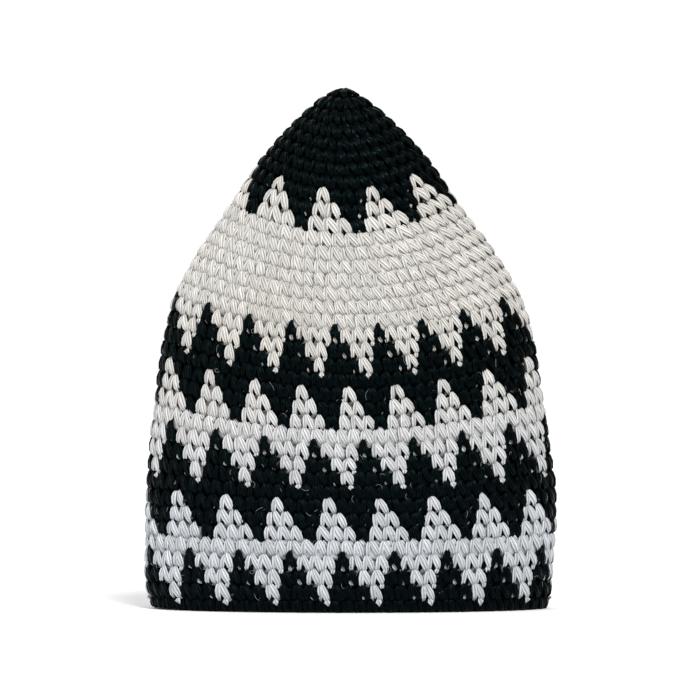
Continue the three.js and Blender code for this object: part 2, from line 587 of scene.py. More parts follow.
@dataclass(frozen=True)
class Bundle:
    """Yarns ready to become one piece.

    Args:
        points: The corners of each yarn, section by section, and then its two end points.
        facts: Ridge, tuck and tone at each of them, which the finish reads for its painted shade
            and tone.
        stations: Sections along each yarn.
        corners: Corners in each section.
    """

    points: np.ndarray
    facts: np.ndarray
    stations: int
    corners: int

    @property
    def each(self) -> int:
        """Counts the points of one yarn."""
        return self.stations * self.corners + 2

    def pick(self, chosen: np.ndarray) -> "Bundle":
        """Gives the chosen yarns alone."""
        return replace(self, points=self.points[chosen], facts=self.facts[chosen])

    def joined(self, other: "Bundle") -> "Bundle":
        """Gives these yarns and those of another bundle with the same stations and corners."""
        points = np.concatenate([self.points, other.points])
        return replace(self, points=points, facts=np.concatenate([self.facts, other.facts]))

    def _quads(self) -> tuple[np.ndarray, np.ndarray]:
        """Works out the sides of one yarn.

        Returns:
            The four corners of each face, and its place on the map along the strands.
        """
        stations, corners = self.stations, self.corners
        step, corner = np.meshgrid(np.arange(stations - 1), np.arange(corners), indexing="ij")
        following = (corner + 1) % corners
        near, far = step * corners, (step + 1) * corners
        faces = np.stack([near + corner, near + following, far + following, far + corner], axis=-1)
        around = np.stack([corner, corner + 1, corner + 1, corner], axis=-1) / corners
        along = np.stack([step, step, step + 1, step + 1], axis=-1) / (stations - 1)
        return faces.reshape(-1, 4), np.stack([around, along], axis=-1).reshape(-1, 2)

    def _ends(self) -> np.ndarray:
        """Works out the triangles that close the two ends of one yarn.

        Returns:
            The three corners of each triangle.
        """
        rim = np.arange(self.corners)
        after = (rim + 1) % self.corners
        last = (self.stations - 1) * self.corners
        start = np.stack([np.full(self.corners, self.each - 2), after, rim], axis=-1)
        end = np.stack([np.full(self.corners, self.each - 1), last + rim, last + after], axis=-1)
        return np.concatenate([start, end])

    def mesh(self, name: str) -> bpy.types.Mesh:
        """Makes one mesh of closed yarns.

        Args:
            name: The mesh's name.

        Returns:
            The mesh, with the facts that the finish reads and a map along the strands.
        """
        count = len(self.points)
        faces, face_map = self._quads()
        shift = (np.arange(count) * self.each)[:, None, None]
        quads = (faces[None] + shift).reshape(-1)
        triangles = (self._ends()[None] + shift).reshape(-1)
        quad_starts = np.arange(len(quads) // 4) * 4
        triangle_starts = len(quads) + np.arange(len(triangles) // 3) * 3
        whole_map = np.concatenate([np.tile(face_map, (count, 1)), np.zeros((len(triangles), 2))])

        mesh = bpy.data.meshes.new(name)
        mesh.vertices.add(count * self.each)
        mesh.vertices.foreach_set("co", self.points.astype(np.float32).reshape(-1))
        mesh.loops.add(len(quads) + len(triangles))
        loops = np.concatenate([quads, triangles])
        mesh.loops.foreach_set("vertex_index", loops.astype(np.int32))
        starts = np.concatenate([quad_starts, triangle_starts])
        mesh.polygons.add(len(starts))
        mesh.polygons.foreach_set("loop_start", starts.astype(np.int32))
        layer = mesh.uv_layers.new(name="strand_map")
        layer.data.foreach_set("uv", whole_map.astype(np.float32).reshape(-1))
        facts = mesh.attributes.new("yarn_facts", "FLOAT_VECTOR", "POINT")
        facts.data.foreach_set("vector", self.facts.astype(np.float32).reshape(-1))
        mesh.update(calc_edges=True)
        self._crease_grooves(mesh)
        mesh.polygons.foreach_set("use_smooth", np.ones(len(mesh.polygons), bool))
        return mesh

    def _crease_grooves(self, mesh: bpy.types.Mesh) -> None:
        """Makes the grooves between strands sharp, so that each strand looks round.

        Args:
            mesh: The mesh of the yarns.
        """
        ends = np.empty(len(mesh.edges) * 2, np.int32)
        mesh.edges.foreach_get("vertices", ends)
        ends = ends.reshape(-1, 2)
        local = ends % self.each
        in_groove = self.facts[..., RIDGE].reshape(-1)[ends[:, 0]] == 0.0
        same_corner = local[:, 0] % self.corners == local[:, 1] % self.corners
        on_rings = (local < self.stations * self.corners).all(axis=1)
        sharp = mesh.attributes.new("sharp_edge", "BOOLEAN", "EDGE")
        sharp.data.foreach_set("value", in_groove & same_corner & on_rings)

    def add_piece(self, name: str, material: Material, yarn: Yarn, node: str) -> None:
        """Adds the yarns to the scene as one piece, and reports it.

        Args:
            name: The piece's name.
            material: Its finish.
            yarn: Its yarn; not used.
            node: The solid that it stands in for.
        """
        mesh = self.mesh(name)
        mesh.materials.append(material)
        piece = bpy.data.objects.new(name, mesh)
        bpy.context.scene.collection.objects.link(piece)
        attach(piece, "root")
        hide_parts(node)
        triangles = len(self.points) * 2 * self.corners * self.stations
        log.info("%s: %d yarns, %d triangles", name, len(self.points), triangles)


@dataclass
class YarnSweep:
    """Many short yarns that share one section, each swept along its own path.

    Args:
        strands: The section.
        path: Points of each path, yarn by yarn.
        outward: The direction out of the fabric at each point.
        half_width: Half the yarn's width at each point.
        half_depth: Half the yarn's depth at each point.
        tone: A number from 0 to 1 for each yarn, for its shade.
        twist: How far each yarn's strands turn round it along its length, in radians.
        flatness: Power of the section's reach, 1 for an oval and less for a flatter yarn.
        tuck_in: Share of its length over which it comes out of the fabric.
        tuck_out: Share of its length over which it goes back in.
        tuck_spare: How far beyond its ends the fabric closes, as a share of its length.
        end_reach: How far its end points reach, as a share of half its depth.
    """

    strands: Strands
    path: np.ndarray
    outward: np.ndarray
    half_width: np.ndarray
    half_depth: np.ndarray
    tone: np.ndarray
    twist: np.ndarray
    flatness: float = 0.75
    # tuck_in: Share of its length over which it comes out of the fabric, and over which the
    # painted shade there fades. tuck_out: Share of its length over which it goes back in, and over
    # which the painted shade there grows. tuck_spare: How far beyond its ends that painted shade
    # would be darkest, as a share of its length.
    tuck_in: float = 0.2
    tuck_out: float = 0.22
    tuck_spare: float = 0.06
    end_reach: float = 0.5

    def _squared(self, reach: np.ndarray) -> np.ndarray:
        """Pushes a round section's reach outward, so that the yarn lies flatter."""
        return np.sign(reach) * np.abs(reach) ** self.flatness

    def bundle(self) -> Bundle:
        """Sweeps the yarns.

        Returns:
            The corners, with two end points for each yarn, and their facts.
        """
        section, radius, ridge = self.strands.ring()
        along = np.gradient(self.path, axis=1)
        along /= np.linalg.norm(along, axis=-1, keepdims=True)
        across = np.cross(self.outward, along)
        across /= np.linalg.norm(across, axis=-1, keepdims=True)
        out = np.cross(along, across)
        count, stations = self.path.shape[:2]
        share = np.linspace(0.0, 1.0, stations)
        angle = section[None, None, :] + self.twist[:, None, None] * (share[None, :, None] - 0.5)
        right = self._squared(np.cos(angle)) * radius * self.half_width[..., None]
        front = self._squared(np.sin(angle)) * radius * self.half_depth[..., None]
        ring = self.path[:, :, None] + across[:, :, None] * right[..., None]
        ring += out[:, :, None] * front[..., None]
        tip = self.end_reach * self.half_depth[:, [0, -1], None] * along[:, [0, -1]]
        ends = self.path[:, [0, -1]] + tip * np.array([-1.0, 1.0])[None, :, None]
        # Painted shade: the tuck fact darkens the yarn's colour near its ends, where it goes into
        # the fabric.
        entering = (share + self.tuck_spare) / self.tuck_in
        leaving = (1.0 + self.tuck_spare - share) / self.tuck_out
        facts = np.empty(ring.shape)
        facts[..., RIDGE] = ridge
        facts[..., TUCK_SHADE] = np.clip(np.minimum(entering, leaving), 0.0, 1.0)[None, :, None]
        facts[..., TONE] = self.tone[:, None, None]
        end_facts = np.zeros((count, 2, 3))
        end_facts[..., TONE] = self.tone[:, None]
        return Bundle(
            points=np.concatenate([ring.reshape(count, -1, 3), ends], axis=1),
            facts=np.concatenate([facts.reshape(count, -1, 3), end_facts], axis=1),
            stations=stations,
            corners=self.strands.corners,
        )


@dataclass(frozen=True)
class YarnFinish:
    """What one yarn looks like.

    Args:
        light: Colour on the ridges of its strands.
        painted_shade: Painted shade colour, in the grooves and where the yarn tucks in.
        light_tint: Colour of the painted light tint that large soft patches lean to.
        light_tint_share: How far they lean.
        roughness: Roughness of the strands.
        sheen: Weight of the soft glow of its fibres.
        specular: Level of its gloss.
        gloss_tint: Colour of its gloss.
        groove: How dark the painted shade in the grooves between its strands gets, from 0 to 1.
        groove_narrowness: How narrow those painted shade lines are, 1 as usual.
        tuck: How dark the painted shade at its tucked ends gets, from 0 to 1.
        streak: How dark the streaks along its strands get, from 0 to 1.
        grain: How high the fibres stand, in metres.
        grain_around: How many fibres lie side by side around the yarn.
        low: Colour of the painted cool light that the lowest rounds lean to.
        low_light_tint_share: How far they lean.
    """

    light: tuple[float, float, float]
    painted_shade: tuple[float, float, float]
    light_tint: tuple[float, float, float]
    light_tint_share: float
    roughness: float
    sheen: float
    specular: float
    gloss_tint: tuple[float, float, float]
    groove: float
    groove_narrowness: float
    tuck: float
    streak: float
    grain: float
    grain_around: float
    low: tuple[float, float, float]
    low_light_tint_share: float


WHITE_FINISH = YarnFinish(
    light=(0.73, 0.73, 0.695),
    painted_shade=(0.09, 0.085, 0.078),
    light_tint=(0.745, 0.69, 0.635),
    light_tint_share=0.7,
    roughness=0.55,
    sheen=0.1,
    specular=0.2,
    gloss_tint=(1.0, 1.0, 1.0),
    groove=0.66,
    groove_narrowness=1.1,
    tuck=0.7,
    streak=0.4,
    grain=0.1 * MM,
    grain_around=40.0,
    low=(0.64, 0.68, 0.74),
    low_light_tint_share=0.85,
)
# The core's darker colour and stronger tuck darkening are painted shade, for the shade deep in the
# gaps between stitches.
WHITE_CORE_SHADED_FINISH = replace(WHITE_FINISH, painted_shade=(0.14, 0.13, 0.12), tuck=0.8)
# Grey fibre finish; on the dim white floats carried deep in the gaps it is painted shade on white
# yarn.
FIBRE_FINISH = replace(
    WHITE_FINISH, light=(0.30, 0.31, 0.32), light_tint=(0.42, 0.42, 0.41), low_light_tint_share=0.0
)
# On the black yarn, the ridge colour far above the near-black painted shade of the grooves is also
# a painted highlight along the strand crests.
BLACK_FINISH = YarnFinish(
    light=(0.0009, 0.0029, 0.0030),
    painted_shade=(0.0001, 0.0002, 0.0002),
    light_tint=(0.0009, 0.0023, 0.0036),
    light_tint_share=0.5,
    roughness=0.32,
    sheen=0.0,
    specular=0.052,
    gloss_tint=(0.52, 0.92, 1.0),
    groove=1.0,
    groove_narrowness=0.7,
    tuck=0.35,
    streak=0.95,
    grain=0.45 * MM,
    grain_around=15.0,
    low=(0.0028, 0.0054, 0.0082),
    low_light_tint_share=0.5,
)


class NodeGroups:
    """The effects that both yarns share, each built once."""

    SLANT: float = 0.8  # how far the fibres turn round the yarn as they run along it
    APART: float = 97.0  # how far apart in the noise the yarns of the two end tones read it

    def __init__(self) -> None:
        """Builds the groups."""
        self.shade = self._shade()
        self.grain = self._grain()
        self.patches = self._patches()
        self.low = self._low()

    @staticmethod
    def _new(name: str, inputs: dict[str, float], outputs: tuple[str, ...]) -> Tree:
        """Makes a group with plain number inputs and outputs.

        Args:
            name: The group's name.
            inputs: Each input's name and usual value.
            outputs: The outputs' names.

        Returns:
            The group, with its two end nodes.
        """
        tree = bpy.data.node_groups.new(name, "ShaderNodeTree")
        kind = "NodeSocketFloat"
        for label, value in inputs.items():
            socket = tree.interface.new_socket(label, in_out="INPUT", socket_type=kind)
            socket.default_value = value
        for label in outputs:
            tree.interface.new_socket(label, in_out="OUTPUT", socket_type=kind)
        tree.nodes.new("NodeGroupInput")
        tree.nodes.new("NodeGroupOutput")
        return tree

    @staticmethod
    def _math(tree: Tree, operation: str, *values: Value) -> Socket:
        """Adds one Math node.

        Args:
            tree: The tree that it goes in.
            operation: Its operation.
            values: A socket or a number for each of its inputs.

        Returns:
            Its output.
        """
        node = tree.nodes.new("ShaderNodeMath")
        node.operation = operation
        for socket, value in zip(node.inputs, values):
            if isinstance(value, Socket):
                tree.links.new(value, socket)
            else:
                socket.default_value = value
        return node.outputs[0]

    def _kept_in_range(self, tree: Tree, value: Socket) -> Socket:
        """Keeps a value between 0 and 1, and gives the result."""
        return self._math(tree, "MINIMUM", self._math(tree, "MAXIMUM", value, 0.0), 1.0)

    @staticmethod
    def facts(tree: Tree) -> bpy.types.NodeOutputs:
        """Adds the nodes that read the facts at each point.

        Args:
            tree: The tree that they go in.

        Returns:
            Their outputs: ridge, tuck and tone.
        """
        read = tree.nodes.new("ShaderNodeAttribute")
        read.attribute_name = "yarn_facts"
        split = tree.nodes.new("ShaderNodeSeparateXYZ")
        tree.links.new(read.outputs["Vector"], split.inputs[0])
        return split.outputs

    def _shade(self) -> Tree:
        """Builds the group that paints shade into grooves and tucked ends, and varies yarns by
        their tone.

        Returns:
            The group, which gives the share of the light colour that shows.
        """
        tree = self._new(
            "strand_shade",
            {
                "Groove": 0.5,
                "Narrowness": 1.0,
                "Tuck": 0.7,
                "Tone": 0.2,
                "Streak": 0.4,
                "Streak Mask": 0.5,
            },
            ("Shade",),
        )
        given, result = tree.nodes["Group Input"].outputs, tree.nodes["Group Output"].inputs
        ridge, tuck, tone = self.facts(tree)[:3]
        # Painted shade: darker towards the grooves between strands, and near the tucked ends.
        depth = self._math(tree, "SUBTRACT", 1.0, ridge)
        groove = self._math(tree, "POWER", depth, given["Narrowness"])
        shade: Value = 1.0
        for amount, darkness in (
            (given["Groove"], groove),
            (given["Tuck"], self._math(tree, "SUBTRACT", 1.0, tuck)),
            (given["Tone"], tone),
            (given["Streak"], given["Streak Mask"]),
        ):
            loss = self._math(tree, "MULTIPLY", amount, darkness)
            left = self._math(tree, "SUBTRACT", 1.0, loss)
            shade = self._math(tree, "MULTIPLY", shade, left)
        tree.links.new(shade, result["Shade"])
        return tree

    def _grain(self) -> Tree:
        """Builds the group of fine fibres that run along the strands.

        Returns:
            The group, which gives a mask of the fibres.
        """
        tree = self._new(
            "fibre_grain",
            {"Around": 34.0, "Along": 5.0, "Sharpness": 1.0},
            ("Mask",),
        )
        given, result = tree.nodes["Group Input"].outputs, tree.nodes["Group Output"].inputs
        tone = self.facts(tree)[TONE]
        where = tree.nodes.new("ShaderNodeUVMap")
        where.uv_map = "strand_map"
        split = tree.nodes.new("ShaderNodeSeparateXYZ")
        tree.links.new(where.outputs[0], split.inputs[0])
        around = self._math(tree, "MULTIPLY", split.outputs[0], given["Around"])
        along = self._math(tree, "MULTIPLY", split.outputs[1], given["Along"])
        slant = self._math(tree, "MULTIPLY", along, self.SLANT)
        place = tree.nodes.new("ShaderNodeCombineXYZ")
        tree.links.new(self._math(tree, "ADD", around, slant), place.inputs[0])
        tree.links.new(along, place.inputs[1])
        tree.links.new(self._math(tree, "MULTIPLY", tone, self.APART), place.inputs[2])
        noise = tree.nodes.new("ShaderNodeTexNoise")
        noise.inputs["Scale"].default_value = 1.0
        noise.inputs["Detail"].default_value = 2.0
        tree.links.new(place.outputs[0], noise.inputs["Vector"])
        tree.links.new(self._sharpen(tree, noise.outputs[0], given["Sharpness"]), result["Mask"])
        return tree

    def _sharpen(self, tree: Tree, value: Socket, amount: Socket) -> Socket:
        """Spreads a noise about its middle and keeps it between 0 and 1.

        Args:
            tree: The tree that it is in.
            value: The noise.
            amount: How far it is spread.

        Returns:
            The spread noise.
        """
        centred = self._math(tree, "SUBTRACT", value, 0.5)
        lifted = self._math(tree, "ADD", self._math(tree, "MULTIPLY", centred, amount), 0.5)
        return self._kept_in_range(tree, lifted)

    def _patches(self) -> Tree:
        """Builds the group of large soft patches of painted light tint, spread at random over the
        cap.

        Returns:
            The group, which gives a mask of the patches.
        """
        tree = self._new("painted_light_patches", {"Scale": 14.0, "Sharpness": 1.6}, ("Mask",))
        given, result = tree.nodes["Group Input"].outputs, tree.nodes["Group Output"].inputs
        where = tree.nodes.new("ShaderNodeTexCoord")
        noise = tree.nodes.new("ShaderNodeTexNoise")
        noise.inputs["Detail"].default_value = 3.0
        tree.links.new(where.outputs["Object"], noise.inputs["Vector"])
        tree.links.new(given["Scale"], noise.inputs["Scale"])
        tree.links.new(self._sharpen(tree, noise.outputs[0], given["Sharpness"]), result["Mask"])
        return tree

    def _low(self) -> Tree:
        """Builds the group that grows from 0 high on the cap to 1 in its lowest rounds, which get
        a painted cool light.

        Returns:
            The group, which gives a mask of the lowest rounds.
        """
        tree = self._new("low_rounds_light_tint", {"Begin": 0.14, "End": 0.05}, ("Mask",))
        given, result = tree.nodes["Group Input"].outputs, tree.nodes["Group Output"].inputs
        where = tree.nodes.new("ShaderNodeTexCoord")
        split = tree.nodes.new("ShaderNodeSeparateXYZ")
        tree.links.new(where.outputs["Object"], split.inputs[0])
        above = self._math(tree, "SUBTRACT", given["Begin"], split.outputs[2])
        span = self._math(tree, "SUBTRACT", given["Begin"], given["End"])
        share = self._math(tree, "DIVIDE", above, span)
        tree.links.new(self._kept_in_range(tree, share), result["Mask"])
        return tree


@dataclass
class YarnMaterial:
    """Builds the material of each yarn.

    Args:
        groups: The shared groups.
        tone: How much darker the darkest yarns are than the lightest.
        streaks_around: Streaks that lie side by side around a yarn.
        streaks_along: Streaks that follow one another along it.
        streak_sharpness: How crisp the streaks are.
        grain_length: How many times longer than wide a fibre is.
        grain_sharpness: How crisp the fibres are.
        patch_scale: How many soft patches of painted light tint there are in a metre.
        patch_sharpness: How crisp the patches are.
        roughness_spread: How far the roughness of the fibres goes either way.
        grain_strength: Strength of the fibres' relief.
        sheen_roughness: Roughness of the fibres' soft glow.
    """

    groups: NodeGroups
    tone: float = 0.14
    streaks_around: float = 13.0
    streaks_along: float = 1.3
    streak_sharpness: float = 3.0
    grain_length: float = 5.0
    grain_sharpness: float = 1.8
    patch_scale: float = 13.0
    patch_sharpness: float = 2.2
    roughness_spread: float = 0.12
    grain_strength: float = 0.6
    sheen_roughness: float = 0.4

    @staticmethod
    def _place(tree: Tree, group: Tree, **values: float) -> bpy.types.Node:
        """Puts a shared group in a material.

        Args:
            tree: The material's tree.
            group: The group.
            values: The material's own values, by input name with _ for a space.

        Returns:
            The group's node.
        """
        node = tree.nodes.new("ShaderNodeGroup")
        node.node_tree = group
        for label, value in values.items():
            node.inputs[label.replace("_", " ")].default_value = value
        return node

    @staticmethod
    def _blend(tree: Tree, share: Socket, first: Tint, second: Tint) -> Socket:
        """Mixes two colours.

        Args:
            tree: The material's tree.
            share: How much of the second colour shows.
            first: Socket or colour.
            second: Socket or colour.

        Returns:
            The mixed colour.
        """
        node = tree.nodes.new("ShaderNodeMix")
        node.data_type = "RGBA"
        factor, colours, mixed = node.inputs[0], node.inputs[6:8], node.outputs[2]
        tree.links.new(share, factor)
        for socket, value in zip(colours, (first, second)):
            if isinstance(value, Socket):
                tree.links.new(value, socket)
            else:
                socket.default_value = (*value, 1.0)
        return mixed

    @staticmethod
    def _share(tree: Tree, mask: Socket, share: float) -> Socket:
        """Scales a mask.

        Args:
            tree: The material's tree.
            mask: The mask.
            share: What it is multiplied by.

        Returns:
            The scaled mask.
        """
        node = tree.nodes.new("ShaderNodeMath")
        node.operation = "MULTIPLY"
        node.inputs[1].default_value = share
        tree.links.new(mask, node.inputs[0])
        return node.outputs[0]

    def build(self, finish: YarnFinish, name: str) -> Material:
        """Builds a material.

        Args:
            finish: The yarn's looks.
            name: The material's name.

        Returns:
            The material.
        """
        material = bpy.data.materials.new(name)
        material.use_nodes = True
        tree = material.node_tree
        shader = tree.nodes["Principled BSDF"]
        shade = self._place(
            tree,
            self.groups.shade,
            Groove=finish.groove,
            Narrowness=finish.groove_narrowness,
            Tuck=finish.tuck,
            Tone=self.tone,
            Streak=finish.streak,
        )
        streaks = self._place(
            tree,
            self.groups.grain,
            Around=self.streaks_around,
            Along=self.streaks_along,
            Sharpness=self.streak_sharpness,
        )
        tree.links.new(streaks.outputs["Mask"], shade.inputs["Streak Mask"])
        grain = self._place(
            tree,
            self.groups.grain,
            Around=finish.grain_around,
            Along=finish.grain_around / self.grain_length,
            Sharpness=self.grain_sharpness,
        )
        patches = self._place(
            tree, self.groups.patches, Scale=self.patch_scale, Sharpness=self.patch_sharpness
        )
        low = self._place(tree, self.groups.low)
        # Painted light: the soft patches lean to the tint of the light.
        light_tinted = self._share(tree, patches.outputs["Mask"], finish.light_tint_share)
        # Painted light: the lowest rounds lean to a cool light.
        cooled = self._share(tree, low.outputs["Mask"], finish.low_light_tint_share)
        lit = self._blend(tree, light_tinted, finish.light, finish.light_tint)
        toned = self._blend(tree, cooled, lit, finish.low)
        # Painted shade: grooves and tucked ends fall towards the painted shade colour.
        worn = self._blend(tree, shade.outputs["Shade"], finish.painted_shade, toned)
        tree.links.new(worn, shader.inputs["Base Color"])
        rough = tree.nodes.new("ShaderNodeMapRange")
        rough.inputs["To Min"].default_value = finish.roughness - self.roughness_spread
        rough.inputs["To Max"].default_value = finish.roughness + self.roughness_spread
        tree.links.new(grain.outputs["Mask"], rough.inputs["Value"])
        tree.links.new(rough.outputs[0], shader.inputs["Roughness"])
        bump = tree.nodes.new("ShaderNodeBump")
        bump.inputs["Strength"].default_value = self.grain_strength
        bump.inputs["Distance"].default_value = finish.grain
        tree.links.new(grain.outputs["Mask"], bump.inputs["Height"])
        tree.links.new(bump.outputs[0], shader.inputs["Normal"])
        shader.inputs["Sheen Weight"].default_value = finish.sheen
        shader.inputs["Sheen Roughness"].default_value = self.sheen_roughness
        shader.inputs["Specular IOR Level"].default_value = finish.specular
        shader.inputs["Specular Tint"].default_value = (*finish.gloss_tint, 1.0)
        return material


@dataclass(frozen=True)
class Slack:
    """How far one stitch usually differs from the next.

    Args:
        shift: To the side, in cell widths.
        tilt: Of its foot against its top, in cell widths.
        apart: Of the feet of its two legs, in cell widths.
        top: Up or down at its top, in rounds.
        foot: Up or down at its foot, in rounds.
        lift: Out of the cap's face, in millimetres.
        fat: In the yarn's width, as a share of it.
        twist: In the turn of the yarn's strands, in radians.
    """

    shift: float = 0.04
    tilt: float = 0.11
    apart: float = 0.045
    top: float = 0.05
    foot: float = 0.045
    lift: float = 0.14
    fat: float = 0.07
    twist: float = 0.3


@dataclass(frozen=True)
class BeadShape:
    """The firm bead of yarn behind each stitch.

    Args:
        middle: Where its middle lies down the stitch's cell, in rounds.
        half_height: Half its height, in rounds.
        half_depth: Half its depth.
    """

    middle: float
    half_height: float
    half_depth: float


@dataclass
class StitchWork:
    """Works rounds of stitches: sweeps their legs and shapes the beads of yarn behind them.

    Args:
        form: The cap's form.
        rng: The source of the stitches' small differences.
        slack: How far the stitches differ.
        twist: How far the strands of each leg turn round it, in radians.
        lean: How far the stitches of some rounds slant to the right, in cell widths a round.
        lean_from: Where down the cell a slanting stitch stays in place, in rounds.
        leaning_rounds: The first and last round whose stitches slant.
        tip_gap: How near the tip a stitch may reach, in rounds.
        bead_around: Points around each bead.
        bead_levels: Rings of points from its back to its front.
        bead_ridge: How light the bead is painted, from 0 as in a groove's painted shade to 1 as on
            a ridge.
    """

    form: CapForm
    rng: np.random.Generator
    slack: Slack = Slack()
    twist: float = -0.4
    lean: float = 0.2
    lean_from: float = 0.3
    leaning_rounds: tuple[int, int] = (11, 18)
    tip_gap: float = 0.05
    bead_around: int = 8
    bead_levels: int = 4
    bead_ridge: float = 0.9

    def angles(self, stitches: Stitches, across: np.ndarray) -> np.ndarray:
        """Turns places across the stitches into angles on their rounds.

        Args:
            stitches: The stitches.
            across: Places in cell widths from each stitch's middle, one row for each stitch.

        Returns:
            The angles.
        """
        angle = np.empty(across.shape)
        for number in np.unique(stitches.round):
            rows = stitches.round == number
            turn = stitches.turn[rows, None] + across[rows] * stitches.step[rows, None]
            angle[rows] = self.form.angle(turn, number - 0.5)
        return angle

    def legs(self, stitches: Stitches, shape: LegShape, loose: float) -> Bundle:
        """Sweeps one leg of every stitch.

        Args:
            stitches: The stitches.
            shape: The leg's shape in a stitch's cell.
            loose: How unevenly the stitches were worked, 0 for all alike.

        Returns:
            The legs, in the order of the stitches.
        """
        count, stations = len(stitches.round), len(shape.down)
        shift, tilt, top, foot, lift, fat, wind = self.rng.normal(0.0, loose, (7, count, 1))
        slack, share = self.slack, np.linspace(0.0, 1.0, stations)[None, :]
        side = math.copysign(1.0, sum(shape.across))
        apart = slack.apart * loose * side * stitches.spread[:, None] * share
        first, last = self.leaning_rounds
        leaning = (stitches.round >= first) & (stitches.round <= last)
        drift = self.lean * leaning[:, None] * (np.array(shape.down) - self.lean_from)
        sway = slack.shift * shift + slack.tilt * tilt * (share - 0.5)
        across = np.array(shape.across) + sway + apart + drift
        slip = slack.top * top * (1.0 - share) + slack.foot * foot * share
        down = np.array(shape.down) + slip
        out = (np.array(shape.out) + slack.lift * lift) * MM
        rounds = np.maximum(stitches.round[:, None] - 1 + down, self.tip_gap)
        angle = self.angles(stitches, across)
        cell = stitches.cell[:, None] * self.form.stretch(angle, rounds)
        return YarnSweep(
            strands=Strands(shape.strands),
            path=self.form.place(angle, rounds, out),
            outward=self.form.outward(angle, rounds),
            half_width=np.array(shape.half_width) * cell * (1.0 + slack.fat * fat),
            half_depth=np.array(shape.half_depth) * MM * np.ones((count, 1)),
            tone=self.rng.random(count),
            twist=self.twist + slack.twist * wind[:, 0],
        ).bundle()

    def beads(
        self, stitches: Stitches, shape: BeadShape, half_width: np.ndarray, out: np.ndarray
    ) -> Bundle:
        """Shapes a firm bead of yarn behind every stitch.

        Args:
            stitches: The stitches.
            shape: What all the beads share.
            half_width: Half each bead's width, in cell widths.
            out: How far each bead's middle lies out of the cap's face.

        Returns:
            The beads, in the order of the stitches.
        """
        turn_angle = np.arange(self.bead_around) * 2 * math.pi / self.bead_around
        tilt = np.linspace(-math.pi / 2, math.pi / 2, self.bead_levels + 2)[1:-1]
        side = np.cos(turn_angle)[None, :] * np.cos(tilt)[:, None]
        down = np.sin(turn_angle)[None, :] * np.cos(tilt)[:, None]
        square = np.cos(tilt)[:, None] / np.maximum(np.abs(side), np.abs(down))
        side, down = side * square, down * square
        level = np.broadcast_to(np.sin(tilt)[:, None], side.shape)
        ball = np.stack([side, down, level], axis=-1).reshape(-1, 3)
        ball = np.concatenate([ball, [[0.0, 0.0, -1.0], [0.0, 0.0, 1.0]]])
        rounds = stitches.round[:, None] - 1 + shape.middle + ball[:, 1] * shape.half_height
        rounds = np.maximum(rounds, self.tip_gap)
        angle = self.angles(stitches, ball[:, 0] * half_width[:, None])
        points = self.form.place(angle, rounds, out[:, None] + ball[:, 2] * shape.half_depth)
        facts = np.empty(points.shape)
        facts[..., RIDGE] = self.bead_ridge
        # Painted shade: the bead darkens from its front towards its sides and back.
        facts[..., TUCK_SHADE] = np.clip(ball[:, 2], 0.0, 1.0)
        facts[..., TONE] = self.rng.random(len(points))[:, None]
        return Bundle(points, facts, self.bead_levels, self.bead_around)


